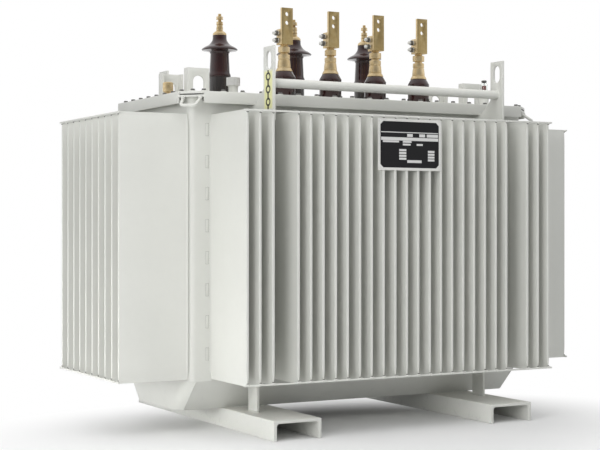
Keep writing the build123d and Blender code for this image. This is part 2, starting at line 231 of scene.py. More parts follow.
class Finish(Nodes):
    """A procedural material in the making. Its patterns lie on the object's own coordinates."""

    def __init__(self, name):
        self.material = bpy.data.materials.new(name)
        super().__init__(self.material)
        self.shader = self.tree.nodes["Principled BSDF"]
        self.place = self.add("ShaderNodeTexCoord").outputs["Object"]

    def noise(self, scale, detail=3.0, roughness=0.5, vector=None):
        """Soft random pattern from 0 to 1."""
        node = self.add("ShaderNodeTexNoise", {"Vector": vector or self.place, "Scale": scale,
                                               "Detail": detail, "Roughness": roughness})
        return node.outputs["Fac"]

    def lines(self, scale, detail, roughness):
        """Random pattern stretched along the axes, for brushed and turned marks."""
        stretched = self.add("ShaderNodeMapping", {"Vector": self.place, "Scale": scale}).outputs["Vector"]
        return self.noise(1.0, detail, roughness, stretched)

    def patches(self, scale, detail, roughness, low=0.0, high=1.0, start=0.3, stop=0.7):
        """Soft random patches between a low and a high value."""
        return self.spread(self.noise(scale, detail, roughness), low, high, start, stop)

    def cells(self, scale):
        """Random value for each cell of a cell pattern."""
        node = self.add("ShaderNodeTexVoronoi", {"Vector": self.place, "Scale": scale})
        return self.add("ShaderNodeSeparateColor", {"Color": node.outputs["Color"]}).outputs["Red"]

    def blend(self, share, first, second):
        """Mix two colours, each a triple or a socket."""
        return self.add("ShaderNodeMix", {0: share, 6: first, 7: second}, data_type="RGBA").outputs[2]

    def upright_part(self, vector):
        """Z part of a vector."""
        return self.add("ShaderNodeSeparateXYZ", {"Vector": vector}).outputs["Z"]

    def facing_up(self):
        """1 on faces that look up, 0 on walls."""
        normal = self.add("ShaderNodeNewGeometry").outputs["Normal"]
        return self.spread(self.upright_part(normal), 0.0, 1.0, 0.35, 0.95)

    def height(self, start, stop):
        """From 1 at the height start to 0 at the height stop, in metres."""
        return self.spread(self.upright_part(self.place), 1.0, 0.0, start, stop)

    def relief(self, *layers):
        """Bumps in layers of (height pattern, depth in metres)."""
        normal = None
        for pattern, depth in layers:
            inputs = {"Height": pattern, "Distance": depth, "Strength": 1.0}
            if normal:
                inputs["Normal"] = normal
            normal = self.add("ShaderNodeBump", inputs).outputs["Normal"]
        self.feed(self.shader.inputs["Normal"], normal)

    def set(self, **values):
        """Values or links of the shader's own sockets; underscores stand for spaces."""
        for key, value in values.items():
            self.feed(self.shader.inputs[key.replace("_", " ")], value)
        return self.material

    def follow(self, pattern, dark, light, depth, dullness, *layers, **others):
        """Colour, relief and dullness that all follow one pattern."""
        self.relief((pattern, depth), *layers)
        return self.set(Base_Color=self.blend(self.spread(pattern), dark, light),
                        Roughness=self.spread(pattern, *dullness), **others)

    def patched(self, patch, most, base, other, grain, depth, dullness, **others):
        """Fine grain, and a colour and a dullness that change as the patches rise from 0 to their most."""
        self.relief((self.noise(grain), depth))
        return self.set(Base_Color=self.blend(patch, base, other),
                        Roughness=self.spread(patch, *dullness, 0.0, most), **others)


def tinted(base, *shares):
    """Colour made lighter or darker by one share, or by one for each of its parts."""
    return tuple(min(1.0, part * share) for part, share in zip(base, shares * 3))


def paint_finish(name, base, peel=0.00003):
    """Sprayed satin paint on steel: orange peel, slow waves, dust and a trace of dirt low down."""
    finish = Finish(name)
    tone = finish.blend(finish.patches(2.3, 4.0, 0.55), tinted(base, 0.965), tinted(base, 1.02))
    tone = finish.blend(finish.times(finish.patches(38.0, 5.0, 0.6), 0.22), tone, tinted(base, 0.93))
    dust = finish.times(finish.facing_up(), finish.patches(9.0, 6.0, 0.65, 0.15, 0.55))
    tone = finish.blend(dust, tone, tinted(base, 0.99, 0.965, 0.93))
    scuffs = finish.patches(26.0, 8.0, 0.72, 0.0, 0.55, 0.56, 0.72)
    tone = finish.blend(finish.times(finish.height(0.0, 0.16), scuffs), tone, tinted(base, 0.62))
    finish.relief((finish.noise(5.0, 2.0, 0.4), 0.0016), (finish.noise(620.0, 2.0), peel))
    return finish.set(Base_Color=tone, Roughness=finish.patches(14.0, 5.0, 0.6, 0.34, 0.47),
                      Specular_IOR_Level=0.45)


def weld_finish(base):
    """Paint over a weld bead: the same colour with the ripples of the bead."""
    finish = Finish("painted weld")
    return finish.follow(finish.noise(170.0, 2.0, 0.45), tinted(base, 0.90), tinted(base, 1.03), 0.0016,
                         (0.36, 0.5), (finish.noise(700.0, 2.0), 0.00005), Specular_IOR_Level=0.45)


def porcelain_finish(base):
    """Brown glaze, thinner and redder in patches, with a slow ripple under a clear coat."""
    finish = Finish("brown porcelain")
    tone = finish.blend(finish.patches(24.0, 4.0, 0.6), tinted(base, 0.72), tinted(base, 1.5, 1.25, 1.1))
    specks = finish.patches(900.0, 2.0, 0.7, 0.0, 0.35, 0.62, 0.75)
    tone = finish.blend(specks, tone, tinted(base, 2.6, 2.0, 1.6))
    finish.relief((finish.noise(46.0, 2.0, 0.4), 0.0004))
    return finish.set(Base_Color=tone, Roughness=finish.patches(60.0, 3.0, 0.5, 0.06, 0.13), Coat_Weight=0.3,
                      Coat_Roughness=0.03)


def foot_finish():
    """Dark matt glaze of the bushings' feet; its faint upright streaks roughen and bump it and are also
    painted into its colour as reflections.
    """
    finish = Finish("dark foot glaze")
    # the streaks' lighter colour is painted reflection
    return finish.follow(finish.lines((170.0, 170.0, 4.0), 3.0, 0.55), (0.012, 0.010, 0.010),
                         (0.036, 0.031, 0.029), 0.00025, (0.16, 0.30), Coat_Weight=0.3, Coat_Roughness=0.08)


def brass_finish(name, base, scale):
    """Brass with fine turned rings or brushing, by the scale of its lines, and a warm tarnish."""
    finish = Finish(name)
    marks = finish.lines(scale, 3.0, 0.6)
    tone = finish.blend(finish.patches(55.0, 5.0, 0.65), base, tinted(base, 0.80, 0.72, 0.56))
    tone = finish.blend(finish.times(finish.spread(marks), 0.30), tone, tinted(base, 1.12))
    finish.relief((marks, 0.00006), (finish.noise(90.0), 0.00012))
    return finish.set(Base_Color=tone, Metallic=1.0, Roughness=finish.patches(120.0, 4.0, 0.6, 0.36, 0.52))


def zinc_finish(base):
    """Zinc plating with small crystals and dulled patches."""
    finish = Finish("zinc plate")
    crystal = finish.cells(260.0)
    tone = finish.blend(finish.times(crystal, 0.35), tinted(base, 0.94), tinted(base, 1.12))
    tone = finish.blend(finish.times(finish.patches(70.0, 5.0, 0.6), 0.35), tone, tinted(base, 0.78))
    finish.relief((finish.noise(420.0), 0.00004))
    return finish.set(Base_Color=tone, Metallic=0.5, Roughness=finish.spread(crystal, 0.34, 0.50, 0.0, 1.0))


def dark_steel_finish(name, base, worn):
    """Blackened steel with brighter rubbed patches."""
    finish = Finish(name)
    rub = finish.patches(240.0, 5.0, 0.65, 0.0, 1.0, 0.45, 0.75)
    return finish.patched(rub, 1.0, base, tinted(base, worn), 600.0, 0.00005, (0.48, 0.34), Metallic=0.7)


def rubber_finish(base):
    """Matt rubber with a fine grain and a greyish bloom."""
    finish = Finish("gasket rubber")
    bloom = finish.patches(45.0, 5.0, 0.6, 0.0, 0.5)
    return finish.patched(bloom, 0.5, base, tinted(base, 2.4), 800.0, 0.0001, (0.62, 0.82))


def float_finish(base):
    """Moulded red-brown float, darker where oil has wetted it."""
    finish = Finish("red float")
    wet = finish.patches(90.0, 4.0, 0.6)
    return finish.patched(wet, 1.0, base, tinted(base, 0.55), 300.0, 0.0001, (0.22, 0.42))


def gap_finish():
    """Dark colour of painted shade, for the shadowed end of a fin's seam and the shaded edge of a stitch pad.
    """
    finish = Finish("painted seam shade")
    return finish.follow(finish.noise(300.0, 4.0, 0.6), (0.035, 0.034, 0.031), (0.10, 0.098, 0.09), 0.0003,
                         (0.7, 0.9))


def glass_finish():
    """Clear moulded glass with slow ripples."""
    finish = Finish("gauge glass")
    ripple = finish.noise(55.0, 2.0, 0.4)
    finish.relief((ripple, 0.0003))
    return finish.set(Base_Color=(0.97, 0.985, 0.97), Roughness=finish.spread(ripple, 0.01, 0.05),
                      Transmission_Weight=1.0, IOR=1.46)


def printed_finish(name, base, worn, gleam=0.4):
    """Printed or anodised layer with a light brushing and a few worn specks."""
    finish = Finish(name)
    brush = finish.lines((20.0, 600.0, 900.0), 4.0, 0.6)
    tone = finish.blend(finish.times(finish.spread(brush), 0.35), base, tinted(base, worn))
    tone = finish.blend(finish.patches(260.0, 6.0, 0.7, 0.0, 0.6, 0.60, 0.74), tone, tinted(base, worn * 0.9))
    finish.relief((brush, 0.00003))
    return finish.set(Base_Color=tone, Roughness=finish.spread(brush, 0.36, 0.50), Specular_IOR_Level=gleam)


def metal_plate_finish(base):
    """Bare brushed aluminium."""
    finish = Finish("plate metal")
    return finish.follow(finish.lines((18.0, 500.0, 1100.0), 4.0, 0.6), tinted(base, 0.9), tinted(base, 1.06),
                         0.00004, (0.30, 0.44), Metallic=0.35)


finishes = {}


def make_finishes():
    """Make every finish once."""
    tint = sizes("colours")
    finishes.update(
        paint=paint_finish("tank paint", tint.paint),
        fin_paint=paint_finish("fin paint", tinted(tint.paint, 1.01), 0.00002),
        weld=weld_finish(tint.paint),
        porcelain=porcelain_finish(tint.porcelain),
        foot=foot_finish(),
        brass=brass_finish("turned brass", tint.brass, (14.0, 14.0, 900.0)),
        # the flags' darker tone is painted shade; their rolled grain is real
        flag_brass=brass_finish("shaded rolled brass", tint.flag_brass, (260.0, 260.0, 9.0)),
        zinc=zinc_finish(tint.zinc),
        dark_steel=dark_steel_finish("dark steel", tint.dark_steel, 3.2),
        bolt_steel=dark_steel_finish("bolt steel", tint.bolt_steel, 1.9),
        rubber=rubber_finish(tint.rubber),
        # dark finish of painted shade, used at the fin seams and the stitch pads
        gap=gap_finish(),
        glass=glass_finish(),
        float=float_finish(tint.float_red),
        field=printed_finish("plate field", tint.plate_field, 2.2, 0.2),
        plate=metal_plate_finish(tint.plate_bare),
        white=printed_finish("plate white", (0.70, 0.70, 0.69), 0.9),
        sign=printed_finish("sign yellow", tint.sign, 0.94),
        sign_edge=printed_finish("sign margin", (0.82, 0.82, 0.64), 0.95),
        ink=printed_finish("sign ink", (0.020, 0.020, 0.018), 1.9))


# Shapes

move = Matrix.Translation


def rotation(degrees, axis="Z"):
    """Matrix that turns about an axis."""
    return Matrix.Rotation(math.radians(degrees), 4, axis)


def closed(bm):
    """Weld a shape's seams and poles, and turn its faces outwards."""
    bmesh.ops.remove_doubles(bm, verts=bm.verts[:], dist=0.000002)
    bmesh.ops.recalc_face_normals(bm, faces=bm.faces[:])
    return bm


def soften(bm, width, segments=2, angle=30.0):
    """Round the edges at which a shape turns by more than an angle in degrees."""
    limit = math.radians(angle)
    sharp = [edge for edge in bm.edges if len(edge.link_faces) == 2 and edge.calc_face_angle(0.0) > limit]
    bmesh.ops.bevel(bm, geom=sharp, offset=width, offset_type="OFFSET", affect="EDGES",
                    segments=segments, profile=0.5, material=-1, clamp_overlap=True)


def as_shape(bm, material=0):
    """Keep a finished shape as a mesh that can be stamped many times."""
    for face in bm.faces:
        face.material_index = material
    mesh = bpy.data.meshes.new("shape")
    bm.to_mesh(mesh)
    bm.free()
    return mesh


def stamp(bm, shape, place=(0, 0, 0)):
    """Add a copy of a shape at a place, which is a point or a matrix."""
    copy = shape.copy()
    copy.transform(place if isinstance(place, Matrix) else move(place))
    bm.from_mesh(copy)
    bpy.data.meshes.remove(copy)


def gathered(*shapes, place=(0, 0, 0)):
    """Start a piece from shapes that stand at one place."""
    bm = bmesh.new()
    for shape in shapes:
        stamp(bm, shape, place)
    return bm


def bar(low, high):
    """Sharp bar between two corners."""
    bm = bmesh.new()
    low, high = Vector(low), Vector(high)
    bmesh.ops.create_cube(bm, size=1.0)
    bmesh.ops.scale(bm, vec=high - low, verts=bm.verts[:])
    bmesh.ops.translate(bm, vec=(low + high) / 2, verts=bm.verts[:])
    return bm


def block(low, high, edge, segments=2, material=0):
    """Bar or plate between two corners, with rounded edges."""
    bm = bar(low, high)
    soften(bm, edge, segments)
    return as_shape(bm, material)


def prism(sides, radius, height, foot=0.0):
    """Upright prism that stands at a height."""
    bm = bmesh.new()
    bmesh.ops.create_cone(bm, cap_ends=True, segments=sides, radius1=radius, radius2=radius, depth=height,
                          matrix=move((0, 0, foot + height / 2)))
    return bm


def hexagon(across, height, edge=0.0007, material=0):
    """Hexagon nut or bolt head standing on the plane Z = 0."""
    bm = prism(6, across / 2 / math.cos(math.pi / 6), height)
    soften(bm, edge, 1)
    return as_shape(bm, material)


def weld(bm, start, end, radius):
    """Add a weld bead along a joint, rounded at both ends."""
    start, end = Vector(start), Vector(end)
    run = end - start
    bead = prism(8, radius, run.length, -run.length / 2)
    soften(bead, radius * 0.6, 2, 60.0)
    turn = run.to_track_quat("Z", "Y").to_matrix().to_4x4()
    bmesh.ops.transform(bead, matrix=move((start + end) / 2) @ turn, verts=bead.verts[:])
    stamp(bm, as_shape(bead, 1))


def scaled(outline):
    """Outline in millimetres as an outline in metres."""
    return [(radius * MM, height * MM) for radius, height in outline]


def turned(outline, steps, edge=0.0, segments=2, material=0, angle=25.0):
    """Solid turned about Z from (radius, height) points in metres that start and end on the axis."""
    bm = bmesh.new()
    points = [bm.verts.new((radius, 0.0, height)) for radius, height in outline]
    edges = [bm.edges.new(pair) for pair in zip(points, points[1:])]
    bmesh.ops.spin(bm, geom=points + edges, axis=UP, cent=(0, 0, 0), dvec=(0, 0, 0),
                   angle=math.tau, steps=steps, use_merge=True, use_duplicate=False)
    closed(bm)
    if edge:
        soften(bm, edge, segments, angle)
    return as_shape(bm, material)


def disc(radius, height, steps, edge, segments=1, material=0):
    """Washer or round bar standing on the plane Z = 0."""
    return turned([(0, 0), (radius, 0), (radius, height), (0, height)], steps, edge, segments, material)


def threaded(radius, bottom, top, pitch, steps=24, material=0):
    """Stud with the rings of its thread and a chamfered end."""
    outline = [(0.0, bottom)]
    for ring in range(int((top - bottom) / pitch)):
        level = bottom + ring * pitch
        outline += [(radius * 0.9, level), (radius, level + pitch / 2)]
    outline += [(radius * 0.82, top), (0.0, top)]
    return turned(outline, steps, material=material)


def drop(radii, segments=8, material=0):
    """Rounded blob with three radii."""
    bm = bmesh.new()
    bmesh.ops.create_uvsphere(bm, u_segments=segments, v_segments=max(4, segments // 2), radius=1.0)
    bmesh.ops.scale(bm, vec=radii, verts=bm.verts[:])
    return as_shape(bm, material)


def rolled_wire(points, centre, turn, steps, last):
    """Wire through points that then rolls round a centre and runs on to a last point."""
    bm = bmesh.new()
    wire = [bm.verts.new(point) for point in points]
    for pair in zip(wire, wire[1:]):
        bm.edges.new(pair)
    roll = bmesh.ops.spin(bm, geom=[wire[-1]], axis=UP, cent=centre, dvec=(0, 0, 0), angle=turn,
                          steps=steps)["geom_last"]
    bm.edges.new((roll[0], bm.verts.new(last)))
    return bm


def mirrored(bm, *axes):
    """Complete a half or a quarter of an outline across the named axes."""
    for axis in axes:
        bmesh.ops.mirror(bm, geom=bm.verts[:] + bm.edges[:], matrix=Matrix.Identity(4), merge_dist=0.00001,
                         axis=axis)
        bmesh.ops.remove_doubles(bm, verts=bm.verts[:], dist=0.00001)


def raised(bm, loop):
    """Extrude a loop of edges, and give its new points and its new edges."""
    made = bmesh.ops.extrude_edge_only(bm, edges=loop)["geom"]
    points = {item for item in made if isinstance(item, bmesh.types.BMVert)}
    edges = [item for item in made if isinstance(item, bmesh.types.BMEdge) and set(item.verts) <= points]
    return points, edges


def of_cad(node, edge=0.0, angle=30.0, above=None):
    """Copy of a CAD node's mesh, or of its part above a level, joined up, flattened and its edges rounded."""
    bm = bmesh.new()
    bm.from_mesh(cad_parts[node].data)
    closed(bm)
    if above is not None:
        bmesh.ops.bisect_plane(bm, geom=bm.verts[:] + bm.edges[:] + bm.faces[:], plane_co=(0, 0, above),
                               plane_no=UP, clear_inner=True)
        bmesh.ops.edgeloop_fill(bm, edges=[rim for rim in bm.edges if rim.is_boundary])
        closed(bm)
    bmesh.ops.dissolve_limit(bm, angle_limit=math.radians(0.6), use_dissolve_boundaries=False,
                             verts=bm.verts[:], edges=bm.edges[:])
    if edge:
        soften(bm, edge, 2, angle)
    return as_shape(bm)


def make_piece(name, bm, used, slot, *nodes, angle=32.0):
    """Turn a bmesh into a finished piece that rides on the tank and stands for the named nodes."""
    mesh = bpy.data.meshes.new(name)
    bm.to_mesh(mesh)
    bm.free()
    for layer in ("custom_normal", "UVMap"):
        if layer in mesh.attributes:
            mesh.attributes.remove(mesh.attributes[layer])
    for finish in used:
        mesh.materials.append(finishes[finish])
    mesh.shade_smooth()
    mesh.set_sharp_from_angle(angle=math.radians(angle))
    piece = bpy.data.objects.new(name, mesh)
    bpy.context.scene.collection.objects.link(piece)
    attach(piece, "root")
    if nodes:
        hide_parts(*nodes)


def foot_of(node):
    """Middle of the bottom of a node's box."""
    low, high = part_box(node)
    return Vector(((low.x + high.x) / 2, (low.y + high.y) / 2, low.z))


def spaced(count, pitch):
    """Places of a row of pieces, the same to both sides of the middle."""
    return [(place - (count - 1) / 2) * pitch for place in range(count)]


def uneven(count, size):
    """Small repeatable difference from piece to piece, between minus size and size."""
    return size * math.sin(12.9898 * count + 4.1) * math.cos(3.7 * count)


# Pieces

# Signs of the ends along X and of the long sides along Y
SIDES = {"left": -1, "right": 1}
ROWS = {"front": -1, "rear": 1}
PAINTED = ("paint", "weld")

# Distances from the tank's middle, in metres
PAN_FOOT = 0.183  # long sides of the pan's foot
PAN_CREASE = 0.642  # creases between the pan's long sides and its ends
STITCH_LINE = 0.603  # stitch marks of the long walls
CORNER_BOLT = (0.654, 0.284)  # extra bolt at each corner of the cover
BAIL_CORNER = (0.665, 0.295)  # middle between the roots of each bail

# Other lengths, in metres
PAN_ROLL = 0.082  # radius of the pan's rolled corners
BARE_END = 0.03  # length of a joint left bare at the end of its bead
SUNK = 0.0001  # depth to which a printed layer is sunk in what it lies on

SEAM_TACK = (0.0100, 0.0042, 0.0041)  # radii of the weld at each end of a fin's seam
SEAM_SHADE = (0.0043, 0.0014, 0.0018)  # radii of the dark blob of painted shade beside it, where the strip's shadow falls on the nose
BAIL_ROOT = (0.0075, 0.0075, 0.0055)  # radii of the weld at each root of a bail

# Outlines of turned pieces, as points of (radius, height) in millimetres
HV_BODY = [(0, 97), (38, 97), (39.2, 99), (40, 100.5), (40, 104), (38.6, 108), (36.6, 113), (36, 117),
    (35.4, 132), (34.0, 158), (33, 181), (34.6, 182.5), (35.8, 185.5), (35.8, 187.5), (41, 189),
    (50, 191.2), (57, 192.2), (62.6, 192.6), (64.5, 194.4), (64.5, 196.2), (63, 198.2), (59.6, 201.2),
    (55.2, 204.2), (48.0, 207.6), (41.0, 211.4), (35.4, 216.2), (30.8, 221.6), (27.4, 227.0),
    (25.6, 232.0), (25, 237.0), (25, 247), (0, 247)]
HV_CAP = [(0, 0), (24.5, 0), (24.5, 4.0), (23.8, 6.4), (21.6, 9.2), (18.0, 12.2), (14.2, 14.6),
    (12.6, 16), (0, 16)]
LV_CONE = [(0, 0), (38.6, 0), (38.6, 76), (39.5, 79), (38.4, 81.5), (29.4, 97.6), (27.5, 99.5), (0, 99.5)]
LV_COLUMN = [(0, 0), (29, 0), (29, 2.2), (28.2, 3.6), (24.6, 10.6), (24.2, 11.8), (22.0, 12.2),
    (22.0, 13.6), (22.9, 14.2), (22.6, 20), (20.6, 38.4), (19.0, 39.2), (19.0, 41.2), (20.4, 42.2),
    (20.4, 56.4), (19.2, 58), (13.2, 58.4), (13.2, 92), (0, 92)]
POCKET_KNOB = [(0, 0), (11, 0), (11, 20), (13, 21), (16.6, 23), (18, 26), (18, 44), (17.2, 46),
    (17.2, 48), (18, 49.5), (17.4, 53.5), (14, 56.4), (0, 57)]
FILLER_NECK = [(0, 0), (19.5, 0), (18.4, 2.2), (16.5, 4.2), (16.5, 50), (17.8, 52), (17.8, 56), (0, 56)]
FILLER_CROWN = [(0, 0), (18, 0), (17, 2.0), (9, 2.4), (0, 2.4)]
GAUGE_BASE = [(0, 0), (20.5, 0), (20.5, 5), (17, 7), (17, 42), (16, 44), (16, 47), (17, 49), (17, 60),
    (15.6, 62), (0, 62)]
GAUGE_DOME = [(0, 36), (4, 35.8), (8, 34.6), (10.8, 32.2), (12.8, 28.4), (13.5, 24), (13.5, 0), (12.3, 0),
    (12.3, 24), (11.7, 27.8), (9.9, 31.2), (7.4, 33.4), (3.6, 34.6), (0, 34.8)]
GAUGE_FLOAT = [(0, 6.4), (7.4, 6.4), (8.6, 8), (8.6, 19.4), (7.2, 22), (2.2, 22.6), (0, 22.6)]
GAUGE_STEM = [(0, 1), (1.3, 1), (1.3, 33), (0, 33)]
GAUGE_LID = [(0, -1.5), (8.5, -1.5), (10, 0), (10, 4), (8, 6), (0, 6)]
RIVET = [(0, 0), (3.4, 0), (3.2, 0.9), (2.2, 1.6), (0, 1.9)]

# Camera, in metres, degrees and shares of the frame's width
CAMERA_PLACE = (-2.5235, -4.4174, 0.677)
CAMERA_TURN = -28.70
CAMERA_SHIFT = -0.0018


class TRANSFORMER_OT_tank(bpy.types.Operator):
    """Build the skids, the pan, the walls, the frame, the gasket and the cover."""
    bl_idname = "transformer.tank"
    bl_label = "Tank and skids"

    def execute(self, context):
        cover = sizes("cover")
        for side in SIDES:
            node = f"skid_{side}"
            bm = gathered(of_cad(node, cover.plate_edge))
            low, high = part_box(node)
            for y in (-PAN_FOOT, PAN_FOOT):
                weld(bm, (low.x + 0.012, y, high.z), (high.x - 0.012, y, high.z), cover.bead)
            make_piece(f"channel_{node}", bm, PAINTED, "tank_paint", node)
        make_piece("folded_pan", self.pan(cover), PAINTED, "tank_paint", "tank_pan")
        make_piece("tank_walls", self.walls(cover), ["paint", "gap"], "tank_paint", "tank_shell")
        bm = gathered(of_cad("top_frame", cover.plate_edge))
        self.frame_welds(bm, cover.bead)
        make_piece("flange_and_rim", bm, PAINTED, "tank_paint", "top_frame")
        bm = gathered(of_cad("cover_gasket", 0.0008))
        make_piece("gasket", bm, ["rubber"], "gasket_rubber", "cover_gasket")
        bm = gathered(of_cad("cover_plate", cover.plate_edge))
        make_piece("flat_cover", bm, ["paint"], "tank_paint", "cover_plate")
        return {"FINISHED"}

    def pan(self, cover):
        """Closed trough with leaning long sides; its end plates roll round to meet them at a crease."""
        low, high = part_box("tank_pan")
        turn = math.radians(45.0)
        flat = PAN_FOOT - PAN_ROLL * math.sin(turn)
        bm = rolled_wire([(high.x, 0.0, low.z), (high.x, flat, low.z)], (high.x - PAN_ROLL, flat, low.z),
                         turn, 6, (0.0, PAN_FOOT, low.z))
        mirrored(bm, "X", "Y")
        loop = bm.edges[:]
        bmesh.ops.edgeloop_fill(bm, edges=loop)
        upper, rim = raised(bm, loop)
        bmesh.ops.translate(bm, vec=(0, 0, high.z - low.z), verts=list(upper))
        for side in (-1, 1):
            leaning = [vert for vert in upper if vert.co.y * side > MM]
            bmesh.ops.translate(bm, vec=(0, side * (high.y - PAN_FOOT), 0), verts=leaning)
        bmesh.ops.edgeloop_fill(bm, edges=rim)
        soften(closed(bm), cover.plate_edge, 2, 25.0)
        for x in (-PAN_CREASE, PAN_CREASE):
            for side in (-1, 1):
                weld(bm, (x, side * PAN_FOOT, low.z + 0.002), (x, side * (high.y - 0.002), high.z - 0.002),
                     cover.bead / 2)
        return bm

    def frame_welds(self, bm, radius):
        """Beads between the walls and the flange."""
        low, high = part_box("tank_shell")
        for side in (-1, 1):
            x, y = side * high.x, side * high.y
            weld(bm, (low.x + BARE_END, y, high.z), (high.x - BARE_END, y, high.z), radius)
            weld(bm, (x, low.y + BARE_END, high.z), (x, high.y - BARE_END, high.z), radius)

    def walls(self, cover):
        """Walls with pads up the flat strip beside each corner, each pad with a thin dark line of painted
        shade round it, widest on its +X side.
        """
        low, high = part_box("tank_shell")
        wide = cover.stitch_width / 2
        tall = cover.stitch_height / 2
        pad = block((-wide, -0.0022, -tall), (wide, 0.0022, tall), 0.0011)
        tall += 0.0004
        # thin dark line of painted shade round the pad, wider at +X where the pad's shadow is painted
        line = block((-wide - 0.0002, -0.0005, -tall), (wide + 0.0008, 0.0005, tall), 0.0002, 1, 1)
        bm = gathered(of_cad("tank_shell"))
        for place in range(cover.stitch_count):
            level = low.z + 0.088 + place * cover.stitch_pitch
            for x in (-STITCH_LINE, STITCH_LINE):
                for y in (low.y, high.y):
                    stamp(bm, pad, (x, y, level))
                    stamp(bm, line, (x, y, level))
        return bm


class TRANSFORMER_OT_fins(bpy.types.Operator):
    """Build the four rows of folded fins, each fin pinched to a flat seam at its top and foot."""
    bl_idname = "transformer.fins"
    bl_label = "Cooling fins"

    def execute(self, context):
        fins = sizes("fins")
        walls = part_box("tank_shell")[1]
        last = (fins.count - 1) // 2
        long_side = [place * fins.pitch for place in range(-last, last + 1) if abs(place) != fins.strap_place]
        pitch = (2 * walls.y - 2 * fins.end_margin) / (fins.left_count - 1)
        for name, turn, axis, along in (("front", 180, 1, long_side), ("rear", 0, 1, long_side),
                                        ("left", 90, 0, spaced(fins.left_count, pitch)),
                                        ("right", -90, 0, spaced(fins.right_count, pitch))):
            self.row(f"fins_{name}", turn, axis, walls[axis], along, fins)
        return {"FINISHED"}

    def row(self, node, turn, axis, wall, along, fins):
        """One row of fins with its two tie strips."""
        low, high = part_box(node)
        outer = high[axis] - low[axis]
        depth = outer - fins.flare
        half = (high.z - low.z) / 2
        fin = self.fin(depth, half, fins)
        # dark blob of painted shade at each end of a fin's nose, just inside the strip, standing for the
        # strip's shadow
        seam_shade = drop(SEAM_SHADE, 8, 2)
        tack = drop(SEAM_TACK, 12, 1)
        place = rotation(turn) @ move((0, wall, low.z + half))
        bm = bmesh.new()
        for count, x in enumerate(along):
            lean = Matrix.Rotation(uneven(count, 0.0022), 4, "Z")
            stamp(bm, fin, place @ move((x, 0, 0)) @ lean)
            for side in (-1, 1):
                stamp(bm, seam_shade, place @ move((x, depth + 0.0002, side * (half - fins.seam - 0.0008))))
                shift = x + uneven(count + 31 * side, 0.0012)
                stamp(bm, tack, place @ move((shift, outer - 0.0043, side * (half - 0.0042))))
        end = fins.thickness / 2 + fins.overrun
        height = fins.strip * 0.8
        for foot in (half - height, -half):
            strip = block((along[0] - end, outer - fins.strip, foot),
                          (along[-1] + end, outer - 0.0014, foot + height), 0.0012)
            stamp(bm, strip, place)
        make_piece(f"folded_{node}", bm, ["fin_paint", "weld", "gap"], "tank_paint", node, angle=40.0)

    def fin(self, depth, half, fins):
        """One closed fin out along +Y, its section extruded upwards level by level."""
        thick = fins.thickness / 2
        fold = fins.fold
        nose = fins.nose
        root = [(0.9 * fold, 0.0), (0.45 * fold, 0.16 * fold), (0.15 * fold, 0.5 * fold), (0.0, fold),
                (0.0, 0.5 * depth), (0.0, depth - nose)]
        bm = rolled_wire([(thick + x, y, -half) for x, y in root], (thick - nose, depth - nose, -half),
                         math.pi / 2, 3, (0.0, depth, -half))
        mirrored(bm, "X")
        bm.edges.new([vert for vert in bm.verts if len(vert.link_edges) == 1])
        loop = bm.edges[:]
        bmesh.ops.edgeloop_fill(bm, edges=loop)
        # share of the pinched height, width, and share of the seam's reach
        foot_up = [(0.0, 0.30, 1.0), (0.01, 0.30, 0.0), (0.16, 0.48, 0.0), (0.40, 0.76, 0.0),
                   (0.70, 0.93, 0.0), (1.0, 1.0, 0.0)]
        levels = [(-half, 0.30, 1.0)]
        levels += [(fins.seam - half + share * fins.pinch, width, reach) for share, width, reach in foot_up]
        levels += [(-0.5 * half, 1.03, 0.0), (0.0, 1.05, 0.0)]
        levels += [(-level, width, reach) for level, width, reach in reversed(levels[:-1])]
        old_level, old_width, old_reach = -half, 1.0, 0.0
        moving = bm.verts[:]
        for count, (level, width, reach) in enumerate(levels):
            if count:
                moving, loop = raised(bm, loop)
            stretch = (depth + fins.flare * reach) / (depth + fins.flare * old_reach)
            bmesh.ops.scale(bm, vec=(width / old_width, stretch, 1.0), verts=list(moving))
            bmesh.ops.translate(bm, vec=(0, 0, level - old_level), verts=list(moving))
            old_level, old_width, old_reach = level, width, reach
        bmesh.ops.edgeloop_fill(bm, edges=loop)
        return as_shape(closed(bm))


class TRANSFORMER_OT_straps(bpy.types.Operator):
    """Build the four straps with their lifting eyes, and the guard tube."""
    bl_idname = "transformer.straps"
    bl_label = "Straps and guard tube"

    def execute(self, context):
        bead = sizes("cover").bead
        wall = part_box("tank_shell")[1]
        for row, front in ROWS.items():
            for side in SIDES:
                node = f"strap_{row}_{side}"
                low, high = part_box(node)
                bm = gathered(of_cad(node, 0.0009))
                y = front * wall.y
                for x in (low.x, high.x):
                    weld(bm, (x, y, low.z + 0.11), (x, y, wall.z - BARE_END), bead * 0.8)
                    weld(bm, (x, y + front * 0.004, low.z), (x, y + front * 0.062, low.z), bead)
                make_piece(f"lifting_{node}", bm, PAINTED, "tank_paint", node)
        low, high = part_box("guard_tube")
        bm = gathered(of_cad("guard_tube"))
        radius = (high.z - low.z) / 2
        ring = turned([(0.0, -0.0035), (radius + 0.0005, -0.0035), (radius + 0.0032, -0.0015),
                       (radius + 0.0005, 0.0028), (0.0, 0.0028)], 32, material=1)
        for x, turn in ((low.x, 90), (high.x, -90)):
            stamp(bm, ring, move((x, (low.y + high.y) / 2, (low.z + high.z) / 2)) @ rotation(turn, "Y"))
        make_piece("guard_rail", bm, PAINTED, "tank_paint", "guard_tube")
        return {"FINISHED"}


